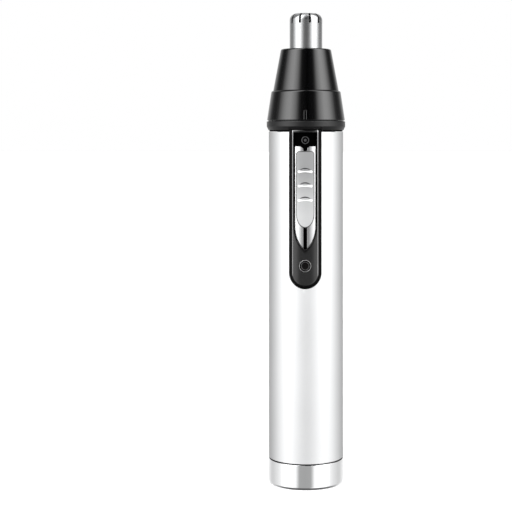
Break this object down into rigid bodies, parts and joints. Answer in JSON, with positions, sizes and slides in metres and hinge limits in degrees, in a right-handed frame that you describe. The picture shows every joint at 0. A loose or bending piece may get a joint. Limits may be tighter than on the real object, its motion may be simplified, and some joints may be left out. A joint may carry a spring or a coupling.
{
  "type": "nose hair trimmer",
  "caption": "Slim battery nose hair trimmer: satin metal sleeve, chromed foot, black front panel with thumb slider, and a twist-off black cone head with a slotted steel guard.",
  "frame": {"origin": "on the trimmer's axis, at the flat bottom of the foot", "axes": "+Z along the axis from the foot to the cutter, -Y out of the front panel"},
  "size_m": [0.0232, 0.0236, 0.1387],
  "materials": {
    "satin_aluminium": "fine satin, clear anodised",
    "chrome_plate": "mirror chrome plate",
    "polished_steel": "polished stainless steel",
    "motor_steel": "plated deep-drawn steel",
    "contact_brass": "stamped brass",
    "sintered_iron": "dull iron",
    "cell_can": "shrink-wrapped can",
    "gloss_black_plastic": "gloss moulded ABS",
    "satin_black_plastic": "satin moulded ABS",
    "silver_plastic": "silver-painted ABS",
    "white_nylon": "natural nylon",
    "smoked_lens": "smoked clear plastic",
    "board_laminate": "green solder mask",
    "red_insulation": "wire insulation",
    "black_rubber": "moulded rubber"
  },
  "bodies": {
    "root": {"base_ring": "chrome_plate", "base_plate": "satin_black_plastic", "base_seal": "black_rubber", "charge_jack": "satin_black_plastic", "jack_pin": "contact_brass", "sleeve": "satin_aluminium", "collar": "satin_black_plastic", "neck": "satin_black_plastic", "neck_seal": "black_rubber", "neck_screw_left": "polished_steel", "neck_screw_right": "polished_steel", "front_panel": "gloss_black_plastic", "track_plate": "chrome_plate", "indicator_bezel": "satin_black_plastic", "indicator_lens": "smoked_lens", "chassis_tray": "satin_black_plastic", "battery_contact_lower": "contact_brass", "battery_spring": "polished_steel", "battery_cell": "cell_can", "battery_terminal": "polished_steel", "battery_contact_upper": "contact_brass", "circuit_board": "board_laminate", "charge_chip": "satin_black_plastic", "indicator_led": "white_nylon", "switch_body": "satin_black_plastic", "charge_lead_red": "red_insulation", "charge_lead_black": "black_rubber", "motor_can": "motor_steel", "motor_magnet": "sintered_iron", "motor_end_cap": "white_nylon", "motor_bearing": "contact_brass", "motor_cushion": "black_rubber"},
    "switch": {"slide_button": "silver_plastic", "slider_shoe": "white_nylon", "switch_pin": "satin_black_plastic"},
    "rotor": {"motor_shaft": "polished_steel", "motor_armature": "sintered_iron", "drive_coupling": "white_nylon"},
    "spindle_carrier": {"spindle_bush": "white_nylon"},
    "head": {"head_skirt": "gloss_black_plastic", "head_cone": "gloss_black_plastic", "cutter_guard": "polished_steel", "guard_retainer": "satin_black_plastic"},
    "blade": {"blade_spindle": "polished_steel", "spindle_spring": "polished_steel", "blade_hub": "white_nylon", "inner_blade": "polished_steel"}
  },
  "joints": [
    {"name": "switch_slide", "type": "slide", "parent": "root", "child": "switch", "axis": [0, 0, 1], "range_m": [-0.005, 0]},
    {"name": "motor_spin", "type": "hinge", "parent": "root", "child": "rotor", "pos_m": [0, 0, 0.0725], "axis": [0, 0, 1], "continuous": true},
    {"name": "head_lift", "type": "slide", "parent": "root", "child": "spindle_carrier", "axis": [0, 0, 1], "range_m": [0, 0.03]},
    {"name": "head_twist", "type": "hinge", "parent": "spindle_carrier", "child": "head", "pos_m": [0, 0, 0.107], "axis": [0, 0, 1], "range_deg": [0, 25]},
    {"name": "blade_spin", "type": "hinge", "parent": "spindle_carrier", "child": "blade", "pos_m": [0, 0, 0.107], "axis": [0, 0, 1], "continuous": true}
  ],
  "couplings": [
    {"joint": "blade_spin", "follows": "motor_spin", "ratio": 1}
  ]
}
